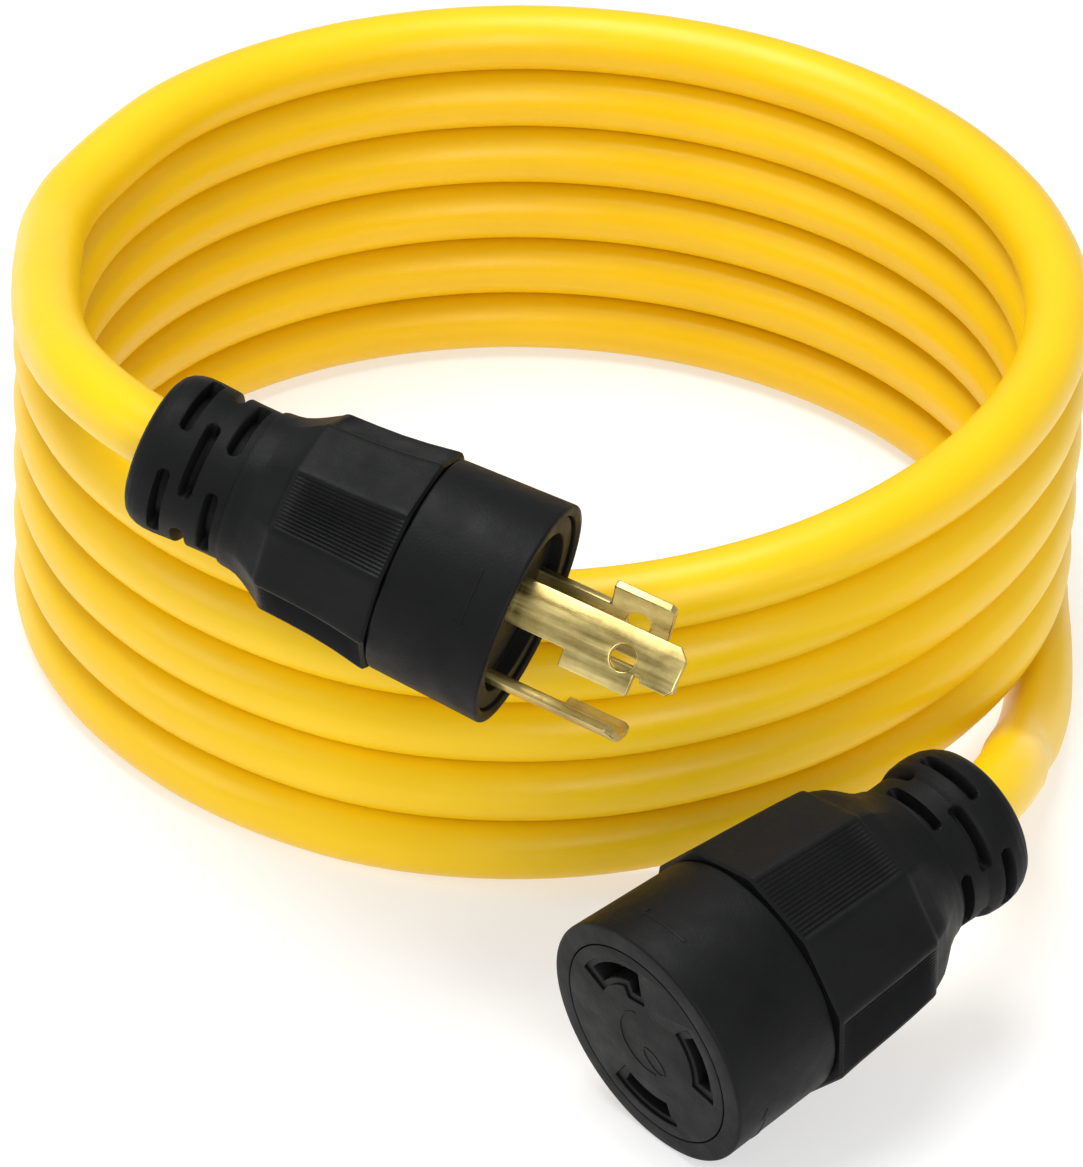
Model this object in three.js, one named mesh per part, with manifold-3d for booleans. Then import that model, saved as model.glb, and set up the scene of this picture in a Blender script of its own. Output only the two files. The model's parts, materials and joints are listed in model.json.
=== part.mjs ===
// Shore power cord: a coiled three-core cord with a locking plug and a locking connector.
// Millimetres, +Z up. The coil lies flat on the floor round a vertical axis, the plug lies on top
// of it and the connector lies in front of it.
import * as THREE from "three";
import { mergeVertices } from "three/addons/utils/BufferGeometryUtils.js";
import Module from "manifold-3d";

const wasm = await Module();
wasm.setup();

// ---------------------------------------------------------------- driving dimensions

const GAP = 0.3; // clearance between pieces that touch
const CORD_R = 8.3; // outer radius of the jacketed cord
const CORD_SIDES = 10;
const COIL_R = 123.6; // centre line of the coil's turns
const PITCH = 16.8; // height from one turn to the next
const COIL_START = 0.015; // turns, measured anticlockwise from +X
const POINTS_PER_TURN = 16;
const COIL_STEPS = 87; // in sixteenths of a turn
const CLIMB = [0.68, 0.975]; // part of each turn in which it climbs to the next level
const RING_TURNS = 4; // whole turns that the plain ring stands for

// The free stretches, point by point: from the coil out to each end.
const TAIL = [
  [124, -10, 8.5], [124, -30, 8.5], [123, -50, 9], [120, -70, 12], [116, -88, 18],
  [114, -106, 28], [112, -124, 38], [107, -142, 44], [98, -160, 47],
];
const LEAD = [
  [-123, 14, 94], [-123, -8, 98], [-122, -28, 102], [-120, -49, 106], [-116, -70, 110],
  [-109, -90, 114], [-98, -108, 116], [-83, -123, 116],
];

// Each end has its own frame: X along its axis towards the face, Y level, Z up. Stations along the
// axis are negative behind the face. Outlines are [radius, station], from rear to front. A grip has
// flat facets, and its radii are those of its corners.
const FACETS = 10;
const PLUG = {
  name: "plug",
  face: [-2, -157.8, 98],
  yaw: -21.58,
  pitch: -11.97,
  corner: 123, // angle at which a ribbed facet of the grip begins
  ring: [[25.8, -28.7], [27, -1.6], [26.6, -0.5], [25.9, 0]],
  mouthR: 24.2,
  boreR: 19.8,
  spigot: [21.5, -44],
  grip: [
    [24.2, -58.6], [24.5, -57.4], [24.8, -50], [25.2, -44], [25.9, -38], [27.1, -30.6],
    [26.4, -29.1],
  ],
  shoulder: [[19.15, -70.3], [19.5, -67.4], [20.3, -64.6], [21.9, -61.6], [23, -59.2], [23, -57]],
  hollow: [
    [18.65, -71], [18.65, -67.2], [19.6, -63.8], [20.9, -60.2], [21.5, -57], [22, -45], [22, -33.2],
    [23.3, -33.2], [23.3, -30.5], [24.4, -30.5], [24.4, -28],
  ],
  washer: [23.1, 24.1],
  neck: [
    [12, -95.8], [15.2, -95.2], [17.4, -93.6], [18.6, -90.8], [18.85, -87.5], [18.6, -83],
    [18.3, -79.5], [18.2, -76],
  ],
  slotRows: [[-74.2, 98], [-80.6, 141], [-86.6, 96]],
  slotArc: 58,
  cordEnd: -50,
  cordStraight: -68,
  coreRear: -24,
  terminalTop: 18.6,
};
const CONNECTOR = {
  name: "connector",
  face: [28, -226.5, 30.2],
  yaw: -138,
  pitch: -11,
  corner: 46,
  ring: [[29.7, -30.5], [30.9, -1.3], [30.6, -0.4], [29.9, 0]],
  mouthR: 25.8,
  boreR: 23.8,
  spigot: [26, -47],
  grip: [
    [28.8, -64], [29.2, -62.8], [30, -56], [30.6, -50], [31.1, -44], [31.6, -38], [32.2, -32],
    [31.6, -30.9],
  ],
  shoulder: [
    [19.9, -78.9], [20.6, -76.6], [22.3, -73.8], [24.5, -71], [26.3, -68.3], [27.4, -65.8],
    [27.4, -62],
  ],
  hollow: [
    [19.35, -79.5], [19.35, -77], [20.6, -74], [22.6, -71.3], [24.6, -68], [25.8, -64], [26.5, -60],
    [26.5, -35], [28, -35], [28, -32.3], [29.4, -32.3], [29.4, -30],
  ],
  washer: [28, 29.1],
  neck: [
    [12.6, -102.5], [15.8, -101.9], [18.3, -100.1], [19.7, -97.3], [20.2, -94.3], [19.9, -91.5],
    [19, -88.5], [18.75, -84],
  ],
  slotRows: [[-81.8, 83], [-87.8, 39], [-93.4, 85]],
  slotArc: 50,
  cordEnd: -58,
  cordStraight: -77,
  coreRear: -34,
  terminalTop: 21.6,
};

// The core of the plug has a sunken face, and both cores have a flange against the ring's ledge.
const RING_LEDGE = -9;
const PLUG_FACE = { rim: -1.2, floor: -4.7, floorR: 19.3 };

// Blades of the plug: angles of the narrow base, end of the wide locking part, its stations, and
// the stations of the tip and of the hole.
const BLADE_R = [15.8, 18];
const BLADES = [
  { role: "ground", from: 117, to: 154, lock: 168, lockFrom: 13.5, lockTo: 30.5, tip: 40, hole: 26.6 },
  { role: "line", from: 211, to: 255, lock: 268, lockFrom: 14.5, lockTo: 30, tip: 30, hole: 21.5 },
  { role: "neutral", from: -35, to: 2, lock: 24, lockFrom: 13.5, lockTo: 28.8, tip: 28.8, hole: 21 },
];
const LOCK_OVERLAP = 2; // degrees by which the locking part runs into the base
const GROUND_LEG = { from: 146, to: 153, inner: 12.4, root: 0.5 };
const BLADE_HOLE = { r: 3, through: [10, 22] };
const BLADE_TAIL = 1.5; // length behind the core
const BLADE_SLACK = 1.2; // degrees of play beside each blade

// Slots of the connector, and the contacts in them.
const SLOT_R = [16.9, 20.8];
const SLOTS = [
  { role: "ground", from: 91, to: 142 },
  { role: "line", from: -119, to: -77 },
  { role: "neutral", from: -5, to: 36 },
];
const SLOT_LEG = { from: 91, to: 103, inner: 13.8, root: 1 };
const CONTACT = { plate: 0.75, front: -6, tail: 1.5, bridge: 4, slack: 1.2 };

const TERMINAL = { length: 8, width: 9, height: 9.6, wireDrop: 7.2, behindCore: 1.8, sink: 2.4 };
const WIRE = { r: 2, sides: 8, steps: 9, spread: 3.9, straight: 3.5, dip: 0.5 };
const HOLE_SLACK = 0.35;
const SCREW = { head: 2.95, headHeight: 1.9, shank: 1.6, shankLength: 2.7 };
const SCREW_SUNK = 0.2; // depth of the screw's head below the terminal's top
const CLAMP = {
  length: 7, halfWidth: 15.4, height: 12.4, bore: 8.7, screwAt: 12, hole: 1.85, behindCord: 3,
};
const CLAMP_SCREW = { head: 2.7, headHeight: 1.8, shank: 1.5, shankLength: 20 };
const SEAL = { r: 0.6, sides: 6, behindRing: 3.2 };
const WASHER_LENGTH = 1.2;
const RELIEF_SLOT = { width: 2.6, floor: 16.2, outside: 24, perRow: 4 };

// Facets round each kind of turned piece.
const SEGMENTS = {
  coil: 40, shell: 40, hollow: 32, boot: 28, washer: 28, seal: 24, bar: 12, screw: 10, arc: 4,
};

const LOOKS = {
  jacket: { color: 0xf6c512, roughness: 0.42, metalness: 0 },
  rubber: { color: 0x2c2d2d, roughness: 0.72, metalness: 0 },
  plastic: { color: 0x343535, roughness: 0.6, metalness: 0 },
  brass: { color: 0xb5934c, roughness: 0.35, metalness: 1 },
  steel: { color: 0xa8aaac, roughness: 0.35, metalness: 1 },
  seal: { color: 0x6a2a22, roughness: 0.6, metalness: 0 },
  clamp: { color: 0xd8d6cf, roughness: 0.55, metalness: 0 },
  insulation: { roughness: 0.5, metalness: 0 },
};
const WIRE_COLOURS = { ground: 0x2f7d3a, line: 0x1c1c1c, neutral: 0xe6e4de };

// ---------------------------------------------------------------- solids

const rad = THREE.MathUtils.degToRad;

function toSolid(geometry) {
  const bare = geometry.clone();
  bare.deleteAttribute("normal");
  bare.deleteAttribute("uv");
  const merged = mergeVertices(bare, 1e-4);
  const corners = merged.index.array;
  const kept = [];
  for (let i = 0; i < corners.length; i += 3) {
    const [a, b, c] = [corners[i], corners[i + 1], corners[i + 2]];
    if (a !== b && b !== c && c !== a) kept.push(a, b, c);
  }
  const vertProperties = new Float32Array(merged.attributes.position.array);
  const triVerts = new Uint32Array(kept);
  return new wasm.Manifold(new wasm.Mesh({ numProp: 3, vertProperties, triVerts }));
}

function piece(name, solid, look) {
  const { vertProperties, triVerts } = solid.getMesh();
  const geometry = new THREE.BufferGeometry();
  geometry.setAttribute("position", new THREE.BufferAttribute(vertProperties, 3));
  geometry.setIndex(new THREE.BufferAttribute(triVerts, 1));
  geometry.computeVertexNormals();
  const mesh = new THREE.Mesh(geometry, new THREE.MeshStandardMaterial(look));
  mesh.name = name;
  return mesh;
}

// A solid turned about the X axis from an outline of [radius, station].
function turned(outline, segments, firstAngle = 90) {
  const points = outline.map(([radius, station]) => new THREE.Vector2(radius, station));
  const geometry = new THREE.LatheGeometry(points, segments, rad(firstAngle - 90));
  return toSolid(geometry.rotateZ(-Math.PI / 2));
}

// A full turned solid: the outline runs from rear to front and both of its ends go to the axis.
function turnedFull(outline, segments, firstAngle) {
  const rear = [0, outline[0][1]];
  const front = [0, outline.at(-1)[1]];
  return turned([rear, ...outline, front], segments, firstAngle);
}

function sectorShape(inner, outer, from, to) {
  const shape = new THREE.Shape();
  shape.absarc(0, 0, outer, rad(from), rad(to), false);
  shape.absarc(0, 0, inner, rad(to), rad(from), true);
  return shape;
}

// A part of a ring about the X axis, between two radii, two angles and two stations.
function sector([inner, outer], [from, to], [rear, front]) {
  const shape = sectorShape(inner, outer, from, to);
  const geometry = new THREE.ExtrudeGeometry(shape, {
    depth: front - rear,
    bevelEnabled: false,
    curveSegments: SEGMENTS.arc,
  });
  const alongX = new THREE.Matrix4().makeBasis(
    new THREE.Vector3(0, 1, 0),
    new THREE.Vector3(0, 0, 1),
    new THREE.Vector3(1, 0, 0),
  );
  return toSolid(geometry.applyMatrix4(alongX).translate(rear, 0, 0));
}

function block([x0, x1], [y0, y1], [z0, z1], angle = 0) {
  const geometry = new THREE.BoxGeometry(x1 - x0, y1 - y0, z1 - z0);
  geometry.translate((x0 + x1) / 2, (y0 + y1) / 2, (z0 + z1) / 2);
  return toSolid(geometry.rotateX(rad(angle)));
}

// A round bar that stands out from the X axis at an angle, between two radii.
function radialBar(radius, [from, to], station, angle) {
  const geometry = new THREE.CylinderGeometry(radius, radius, to - from, SEGMENTS.bar);
  geometry.translate(0, (from + to) / 2, 0).rotateX(rad(angle));
  return toSolid(geometry.translate(station, 0, 0));
}

// A round bar along the X axis.
function axialBar(radius, [rear, front], y, z) {
  const geometry = new THREE.CylinderGeometry(radius, radius, front - rear, SEGMENTS.bar);
  return toSolid(geometry.rotateZ(-Math.PI / 2).translate((rear + front) / 2, y, z));
}

// A screw along +Y: its tip at zero, its head outwards.
function screwGeometry({ head, headHeight, shank, shankLength }) {
  const outline = [
    [0, 0], [shank, 0], [shank, shankLength], [head, shankLength],
    [head, shankLength + headHeight], [0, shankLength + headHeight],
  ];
  return new THREE.LatheGeometry(outline.map(([r, y]) => new THREE.Vector2(r, y)), SEGMENTS.screw);
}

function tube(path, radius, sides, steps) {
  const section = [];
  for (let i = 0; i < sides; i += 1) {
    const angle = (2 * Math.PI * (i + 0.5)) / sides;
    section.push(new THREE.Vector2(radius * Math.cos(angle), radius * Math.sin(angle)));
  }
  const shape = new THREE.Shape(section);
  return new THREE.ExtrudeGeometry(shape, { extrudePath: path, steps, bevelEnabled: false });
}

// ---------------------------------------------------------------- the cord's route

function endMatrix({ face, yaw, pitch }) {
  const turn = new THREE.Euler(0, rad(-pitch), rad(yaw), "ZYX");
  return new THREE.Matrix4().makeRotationFromEuler(turn).setPosition(...face);
}

function onAxis(end, station) {
  return new THREE.Vector3(station, 0, 0).applyMatrix4(endMatrix(end));
}

function coilPoint(turns) {
  const level = Math.floor(turns) + THREE.MathUtils.smoothstep(turns % 1, ...CLIMB);
  const angle = 2 * Math.PI * turns;
  const height = PITCH / 2 + PITCH * level;
  return new THREE.Vector3(COIL_R * Math.cos(angle), COIL_R * Math.sin(angle), height);
}

function endRun(end) {
  const middle = (end.cordEnd + end.cordStraight) / 2;
  return [end.cordEnd, middle, end.cordStraight].map((station) => onAxis(end, station));
}

const coilPoints = [];
for (let i = 0; i <= COIL_STEPS; i += 1) {
  coilPoints.push(coilPoint(COIL_START + i / POINTS_PER_TURN));
}
const tailPoints = TAIL.map((point) => new THREE.Vector3(...point)).reverse();
const leadPoints = LEAD.map((point) => new THREE.Vector3(...point));
const routePoints = [
  ...endRun(CONNECTOR), ...tailPoints, ...coilPoints, ...leadPoints, ...endRun(PLUG).reverse(),
];
const DIVISIONS = 24; // measured pieces between two points of the route
const route = new THREE.CatmullRomCurve3(routePoints, false, "centripetal");
route.arcLengthDivisions = DIVISIONS * (routePoints.length - 1);
const routeLengths = route.getLengths();
const routeLength = routeLengths.at(-1);

function distanceAt(point) {
  return routeLengths[DIVISIONS * routePoints.indexOf(point)];
}

// A stretch of the route between two distances along it.
class Stretch extends THREE.Curve {
  constructor(from, to) {
    super();
    this.from = from;
    this.to = to;
  }

  getPoint(t, target) {
    const distance = THREE.MathUtils.lerp(this.from, this.to, t);
    return route.getPointAt(distance / routeLength, target);
  }
}

const coilBegins = distanceAt(coilPoints[0]);
const topTurnBegins = distanceAt(coilPoints[RING_TURNS * POINTS_PER_TURN]);
const coilEnds = distanceAt(coilPoints.at(-1));
const STEP = { coil: 37, free: 12, bore: 9 };
const BORE_SLACK = 0.8;
const BORED_LENGTH = 75; // length of route that can lie inside a strain relief
const CHANNEL = { length: 150, steps: 12 };
const RING_EDGE = { radius: 6, turns: [0, 45, 90] };

// The distances along the route between which the cord can lie inside an end.
function routeInside(end) {
  return end === CONNECTOR ? [0, BORED_LENGTH] : [routeLength - BORED_LENGTH, routeLength];
}

function cordTube(from, to, step, radius = CORD_R) {
  const steps = Math.round((to - from) / step);
  return tube(new Stretch(from, to), radius, CORD_SIDES, steps);
}

function coilRing() {
  const inner = COIL_R - CORD_R;
  const outer = COIL_R + CORD_R;
  const top = RING_TURNS * PITCH - 2 * (PITCH / 2 - CORD_R);
  const round = RING_EDGE.radius;
  const outline = [];
  const corners = [
    [outer - round, round, -90], [outer - round, top - round, 0],
    [inner + round, top - round, 90], [inner + round, round, 180],
  ];
  for (const [r, z, first] of corners) {
    for (const turn of RING_EDGE.turns) {
      const angle = rad(first + turn);
      outline.push(new THREE.Vector2(r + round * Math.cos(angle), z + round * Math.sin(angle)));
    }
  }
  outline.push(outline[0].clone());
  const ring = toSolid(new THREE.LatheGeometry(outline, SEGMENTS.coil).rotateX(Math.PI / 2));
  return ring.subtract(tailChannel());
}

// The first turn climbs over the free stretch that leaves the coil, so the ring is open there.
function tailChannel() {
  const half = CORD_R + GAP;
  const channel = new THREE.Shape([
    new THREE.Vector2(half, -half), new THREE.Vector2(half, half),
    new THREE.Vector2(-half, half), new THREE.Vector2(-half, -half),
  ]);
  const path = new Stretch(coilBegins - CHANNEL.length, coilBegins + GAP);
  const options = { extrudePath: path, steps: CHANNEL.steps, bevelEnabled: false };
  return toSolid(new THREE.ExtrudeGeometry(channel, options));
}

function cordPieces() {
  const tail = toSolid(cordTube(0, coilBegins, STEP.free));
  const topTurn = toSolid(cordTube(topTurnBegins, coilEnds - GAP, STEP.coil));
  const lead = toSolid(cordTube(coilEnds, routeLength, STEP.free));
  return [
    piece("cord_tail", tail, LOOKS.jacket),
    piece("cord_coil", coilRing(), LOOKS.jacket),
    piece("cord_top_turn", topTurn, LOOKS.jacket),
    piece("cord_plug_lead", lead, LOOKS.jacket),
  ];
}

// ---------------------------------------------------------------- pieces that both ends have

function frontShell(end) {
  const [spigotR, spigotRear] = end.spigot;
  const rear = end.ring[0][1];
  const outline = [
    [end.boreR, spigotRear], [spigotR, spigotRear], [spigotR, rear], ...end.ring,
    [end.mouthR, 0], [end.mouthR, RING_LEDGE], [end.boreR, RING_LEDGE], [end.boreR, spigotRear],
  ];
  return turned(outline, SEGMENTS.shell);
}

function sealRing(end) {
  const centre = end.spigot[0] + GAP + SEAL.r;
  const station = end.ring[0][1] - SEAL.behindRing;
  const outline = [];
  for (let i = 0; i <= SEAL.sides; i += 1) {
    const angle = (2 * Math.PI * (i % SEAL.sides)) / SEAL.sides;
    outline.push([centre + SEAL.r * Math.cos(angle), station + SEAL.r * Math.sin(angle)]);
  }
  return turned(outline, SEGMENTS.seal);
}

function slipWasher(end) {
  const [inner, outer] = end.washer;
  const front = end.ring[0][1] - GAP;
  const rear = front - WASHER_LENGTH;
  const outline = [[inner, rear], [outer, rear], [outer, front], [inner, front], [inner, rear]];
  return turned(outline, SEGMENTS.washer);
}

function rearHousing(end) {
  const grip = turnedFull(end.grip, FACETS, end.corner);
  const shoulder = turnedFull(end.shoulder, SEGMENTS.hollow);
  return grip.add(shoulder).subtract(turnedFull(end.hollow, SEGMENTS.hollow));
}

function clampFront(end) {
  return end.cordEnd - CLAMP.behindCord;
}

function boot(end) {
  const front = clampFront(end) - CLAMP.length - GAP;
  const outside = turnedFull([...end.neck, [end.neck.at(-1)[0], front]], SEGMENTS.boot);
  const inEnd = endMatrix(end).invert();
  const [from, to] = routeInside(end);
  const bore = toSolid(cordTube(from, to, STEP.bore, CORD_R + BORE_SLACK).applyMatrix4(inEnd));
  let solid = outside.subtract(bore);
  const { width, floor, outside: beyond, perRow } = RELIEF_SLOT;
  for (const [station, centre] of end.slotRows) {
    for (let k = 0; k < perRow; k += 1) {
      const middle = centre + (360 / perRow) * k;
      const angles = [middle - end.slotArc / 2, middle + end.slotArc / 2];
      const stations = [station - width / 2, station + width / 2];
      solid = solid.subtract(sector([floor, beyond], angles, stations));
    }
  }
  return solid;
}

function clampHalf(end, side) {
  const front = clampFront(end);
  const rear = front - CLAMP.length;
  const z = side > 0 ? [GAP / 2, CLAMP.height] : [-CLAMP.height, -GAP / 2];
  let solid = block([rear, front], [-CLAMP.halfWidth, CLAMP.halfWidth], z);
  solid = solid.subtract(axialBar(CLAMP.bore, [rear - 1, front + 1], 0, 0));
  for (const y of [-CLAMP.screwAt, CLAMP.screwAt]) {
    const hole = new THREE.CylinderGeometry(CLAMP.hole, CLAMP.hole, 3 * CLAMP.height, SEGMENTS.bar);
    hole.rotateX(Math.PI / 2).translate((rear + front) / 2, y, 0);
    solid = solid.subtract(toSolid(hole));
  }
  return solid;
}

function clampScrew(end, side) {
  const station = clampFront(end) - CLAMP.length / 2;
  const geometry = screwGeometry(CLAMP_SCREW).rotateX(Math.PI / 2);
  const tip = CLAMP.height + GAP - CLAMP_SCREW.shankLength;
  return toSolid(geometry.translate(station, side * CLAMP.screwAt, tip));
}

function terminalStations(end) {
  const front = end.coreRear - TERMINAL.behindCore;
  return [front - TERMINAL.length, front];
}

function terminal(end, angle) {
  const [rear, front] = terminalStations(end);
  const middle = (rear + front) / 2;
  const top = end.terminalTop;
  const half = TERMINAL.width / 2;
  const wireAt = top - TERMINAL.wireDrop;
  const body = block([rear, front], [top - TERMINAL.height, top], [-half, half], angle);
  const wireHole = axialBar(WIRE.r + HOLE_SLACK, [rear - 1, front + 1], wireAt, 0);
  const screwHole = radialBar(SCREW.shank + HOLE_SLACK, [wireAt, top + 1], middle, angle);
  const headAt = top - TERMINAL.sink;
  const headHole = radialBar(SCREW.head + HOLE_SLACK, [headAt, top + 1], middle, angle);
  return body.subtract(wireHole.rotate([angle, 0, 0])).subtract(screwHole).subtract(headHole);
}

function terminalScrew(end, angle) {
  const [rear, front] = terminalStations(end);
  const length = SCREW.shankLength + SCREW.headHeight;
  const geometry = screwGeometry(SCREW).translate(0, end.terminalTop - SCREW_SUNK - length, 0);
  return toSolid(geometry.rotateX(rad(angle)).translate((rear + front) / 2, 0, 0));
}

function wire(end, angle) {
  const [rear, front] = terminalStations(end);
  const outer = end.terminalTop - TERMINAL.wireDrop;
  const start = end.cordEnd + GAP;
  const { r: radius, sides, steps, spread, straight, dip } = WIRE;
  const bends = [
    [start, spread], [start + straight, spread + dip], [rear - straight, outer - dip],
    [rear, outer], [front - 1, outer],
  ];
  const across = new THREE.Vector2(Math.cos(rad(angle)), Math.sin(rad(angle)));
  const points = bends.map(([s, r]) => new THREE.Vector3(s, r * across.x, r * across.y));
  const path = new THREE.CatmullRomCurve3(points, false, "centripetal");
  return toSolid(tube(path, radius, sides, steps));
}

// ---------------------------------------------------------------- plug core and blades

function plugCore() {
  const { coreRear, boreR, mouthR } = PLUG;
  const body = boreR - GAP;
  const flange = mouthR - GAP;
  const outline = [
    [body, coreRear], [body, RING_LEDGE + GAP], [flange, RING_LEDGE + GAP],
    [flange, PLUG_FACE.rim], [PLUG_FACE.floorR, PLUG_FACE.rim], [PLUG_FACE.floorR, PLUG_FACE.floor],
  ];
  let core = turnedFull(outline, SEGMENTS.shell);
  const radii = [BLADE_R[0] - GAP, BLADE_R[1] + GAP];
  const through = [coreRear - 1, 1];
  for (const { from, to } of BLADES) {
    core = core.subtract(sector(radii, [from - BLADE_SLACK, to + BLADE_SLACK], through));
  }
  const leg = [GROUND_LEG.from - BLADE_SLACK, GROUND_LEG.to + BLADE_SLACK];
  return core.subtract(sector([GROUND_LEG.inner - GAP, BLADE_R[1]], leg, through));
}

function blade({ role, from, to, lock, lockFrom, lockTo, tip, hole }) {
  const rear = PLUG.coreRear - BLADE_TAIL;
  let solid = sector(BLADE_R, [from, to], [rear, tip]);
  solid = solid.add(sector(BLADE_R, [to - LOCK_OVERLAP, lock], [lockFrom, lockTo]));
  if (role === "ground") {
    const leg = [GROUND_LEG.from, GROUND_LEG.to];
    solid = solid.add(sector([GROUND_LEG.inner, BLADE_R[0] + GROUND_LEG.root], leg, [rear, tip]));
  }
  const middle = (from + lock) / 2;
  return solid.subtract(radialBar(BLADE_HOLE.r, BLADE_HOLE.through, hole, middle));
}

// ---------------------------------------------------------------- connector core and contacts

function connectorCore() {
  const { coreRear, boreR, mouthR } = CONNECTOR;
  const body = boreR - GAP;
  const flange = mouthR - GAP;
  const outline = [
    [body, coreRear], [body, RING_LEDGE + GAP], [flange, RING_LEDGE + GAP], [flange, 0],
  ];
  let core = turnedFull(outline, SEGMENTS.shell);
  const through = [coreRear - 1, 1];
  for (const { from, to } of SLOTS) {
    core = core.subtract(sector(SLOT_R, [from, to], through));
  }
  const leg = [SLOT_LEG.from, SLOT_LEG.to];
  return core.subtract(sector([SLOT_LEG.inner, SLOT_R[0] + SLOT_LEG.root], leg, through));
}

// A spring contact: two curved plates with the blade's space between them, joined at the rear.
function contact({ from, to }) {
  const { plate, front, tail, bridge: bridgeLength, slack } = CONTACT;
  const rear = CONNECTOR.coreRear - tail;
  const angles = [from + slack, to - slack];
  const [inner, outer] = [SLOT_R[0] + GAP, SLOT_R[1] - GAP];
  const inside = sector([inner, inner + plate], angles, [rear, front]);
  const outside = sector([outer - plate, outer], angles, [rear, front]);
  const bridge = sector([inner, outer], angles, [rear, rear + bridgeLength]);
  return inside.add(outside).add(bridge);
}

// ---------------------------------------------------------------- the two ends

function endGroup(end, own, angles) {
  const group = new THREE.Group();
  const named = (name) => `${end.name}_${name}`;
  group.add(
    piece(named("front_shell"), frontShell(end), LOOKS.plastic),
    piece(named("seal_ring"), sealRing(end), LOOKS.seal),
    piece(named("slip_washer"), slipWasher(end), LOOKS.plastic),
    piece(named("rear_housing"), rearHousing(end), LOOKS.plastic),
    piece(named("strain_relief"), boot(end), LOOKS.rubber),
    piece(named("cord_clamp_upper"), clampHalf(end, 1), LOOKS.clamp),
    piece(named("cord_clamp_lower"), clampHalf(end, -1), LOOKS.clamp),
    piece(named("clamp_screw_left"), clampScrew(end, 1), LOOKS.steel),
    piece(named("clamp_screw_right"), clampScrew(end, -1), LOOKS.steel),
    ...own,
  );
  for (const { role, from, to } of angles) {
    const middle = (from + to) / 2;
    const insulation = { ...LOOKS.insulation, color: WIRE_COLOURS[role] };
    group.add(
      piece(named(`${role}_terminal`), terminal(end, middle), LOOKS.brass),
      piece(named(`${role}_terminal_screw`), terminalScrew(end, middle), LOOKS.steel),
      piece(named(`${role}_wire`), wire(end, middle), insulation),
    );
  }
  group.applyMatrix4(endMatrix(end));
  return group;
}

function plug() {
  const core = piece("plug_core", plugCore(), LOOKS.plastic);
  const blades = BLADES.map((spec) => piece(`plug_${spec.role}_blade`, blade(spec), LOOKS.brass));
  return endGroup(PLUG, [core, ...blades], BLADES);
}

function connector() {
  const core = piece("connector_core", connectorCore(), LOOKS.plastic);
  const contacts = SLOTS.map((slot) => (
    piece(`connector_${slot.role}_contact`, contact(slot), LOOKS.brass)
  ));
  return endGroup(CONNECTOR, [core, ...contacts], SLOTS);
}

// ---------------------------------------------------------------- the whole cord

const cordSet = new THREE.Group();
cordSet.add(...cordPieces(), plug(), connector());

// The origin is the middle of the footprint, on the floor.
cordSet.updateMatrixWorld(true);
const extent = new THREE.Box3().setFromObject(cordSet, true);
const centre = extent.getCenter(new THREE.Vector3());
cordSet.position.set(-centre.x, -centre.y, -extent.min.z);

export default cordSet;
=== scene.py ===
import json
import math

import bmesh
import bpy
from mathutils import Matrix, Vector


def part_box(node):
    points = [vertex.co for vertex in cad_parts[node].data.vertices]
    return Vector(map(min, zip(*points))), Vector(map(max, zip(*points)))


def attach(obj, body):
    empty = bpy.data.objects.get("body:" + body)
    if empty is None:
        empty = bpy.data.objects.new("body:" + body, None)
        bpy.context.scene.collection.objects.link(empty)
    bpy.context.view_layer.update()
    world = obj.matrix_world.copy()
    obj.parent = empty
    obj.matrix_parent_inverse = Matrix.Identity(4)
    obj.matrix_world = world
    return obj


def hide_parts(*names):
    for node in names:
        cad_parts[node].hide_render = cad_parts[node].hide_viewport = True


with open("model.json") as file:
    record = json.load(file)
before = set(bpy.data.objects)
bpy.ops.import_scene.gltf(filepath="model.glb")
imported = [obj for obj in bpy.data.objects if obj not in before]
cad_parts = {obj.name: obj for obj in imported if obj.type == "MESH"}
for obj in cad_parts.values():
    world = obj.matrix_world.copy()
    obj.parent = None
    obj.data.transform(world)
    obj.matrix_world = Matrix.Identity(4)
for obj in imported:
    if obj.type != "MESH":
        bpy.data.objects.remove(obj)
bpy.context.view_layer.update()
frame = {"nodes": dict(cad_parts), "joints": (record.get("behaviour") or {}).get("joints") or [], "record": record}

MM = 0.001

# ---------------------------------------------------------------- sizes, in millimetres

CORD_D = 16.6
COIL_R = 123.6
PITCH = 16.8
COIL_START = 0.015  # turns, measured anticlockwise from +X
POINTS_PER_TURN = 16
COIL_STEPS = 87  # the coil's length, in points
CLIMB = (0.68, 0.975)  # part of each turn in which it climbs to the next level
SAMPLES_PER_POINT = 8
HOUSING_STATION = 45.0  # the housing's joint lies this far behind the face

# The free stretches of the cord, in metres from the coil's axis, from the coil out to each end.
TAIL = [
    (0.124, -0.010, 0.0085), (0.124, -0.030, 0.0085), (0.123, -0.050, 0.009),
    (0.120, -0.070, 0.012), (0.116, -0.088, 0.018), (0.114, -0.106, 0.028),
    (0.112, -0.124, 0.038), (0.107, -0.142, 0.044), (0.098, -0.160, 0.047),
]
LEAD = [
    (-0.123, 0.014, 0.094), (-0.123, -0.008, 0.098), (-0.122, -0.028, 0.102),
    (-0.120, -0.049, 0.106), (-0.116, -0.070, 0.110), (-0.109, -0.090, 0.114),
    (-0.098, -0.108, 0.116), (-0.083, -0.123, 0.116),
]

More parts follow.
